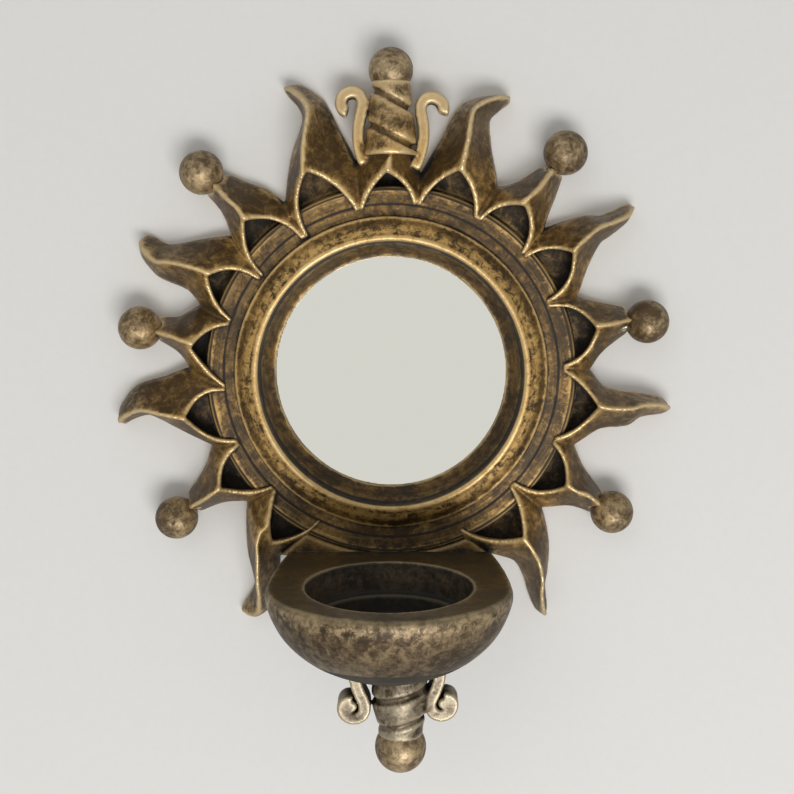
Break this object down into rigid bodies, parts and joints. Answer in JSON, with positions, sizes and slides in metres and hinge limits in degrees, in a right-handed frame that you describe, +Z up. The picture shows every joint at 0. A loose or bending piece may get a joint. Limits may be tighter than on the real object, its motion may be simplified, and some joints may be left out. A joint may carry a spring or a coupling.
{
  "type": "sunburst mirror",
  "caption": "Round wall mirror in a cast sunburst frame of hollow flame and ball-tipped rays, with a candle bowl below and a drop finial.",
  "frame": {"origin": "centre of the round mirror on the rear face of its backing board, in the plane of the wall", "axes": "+Z up the wall, +Y into the wall, the front faces -Y"},
  "size_m": [0.2953, 0.1284, 0.3567],
  "materials": {
    "antique_bronze": "cast resin with a dark bronze patina, dry-brushed gold and cream on the edges",
    "antique_pewter": "cast resin with a grey pewter patina over dark wash",
    "mirror": "silvered flat glass",
    "hardboard": "brown hardboard",
    "zinc_steel": "zinc plated"
  },
  "bodies": {
    "root": {"backplate": "antique_bronze", "bezel_ring": "antique_bronze", "mirror_glass": "mirror", "backing_board": "hardboard", "board_screws": "zinc_steel", "keyhole_hanger": "zinc_steel", "hanger_screws": "zinc_steel", "ball_dowels": "zinc_steel", "crown_dowels": "zinc_steel", "drop_rod": "zinc_steel", "bowl_screws": "zinc_steel", "bowl_bracket": "antique_bronze", "candle_bowl": "antique_pewter", "crown_petal": "antique_bronze", "crown_stem": "antique_bronze", "crown_ball": "antique_bronze", "crown_scroll_left": "antique_bronze", "crown_scroll_right": "antique_bronze", "drop_stem": "antique_pewter", "drop_ball": "antique_pewter", "drop_scroll_left": "antique_pewter", "drop_scroll_right": "antique_pewter", "flame_ray_1": "antique_bronze", "flame_ray_2": "antique_bronze", "flame_ray_3": "antique_bronze", "flame_ray_4": "antique_bronze", "flame_ray_5": "antique_bronze", "flame_ray_6": "antique_bronze", "flame_ray_7": "antique_bronze", "flame_ray_8": "antique_bronze", "ball_ray_1": "antique_bronze", "ray_ball_1": "antique_bronze", "ball_ray_2": "antique_bronze", "ray_ball_2": "antique_bronze", "ball_ray_3": "antique_bronze", "ray_ball_3": "antique_bronze", "ball_ray_4": "antique_bronze", "ray_ball_4": "antique_bronze", "ball_ray_5": "antique_bronze", "ray_ball_5": "antique_bronze", "ball_ray_6": "antique_bronze", "ray_ball_6": "antique_bronze"}
  },
  "joints": []
}
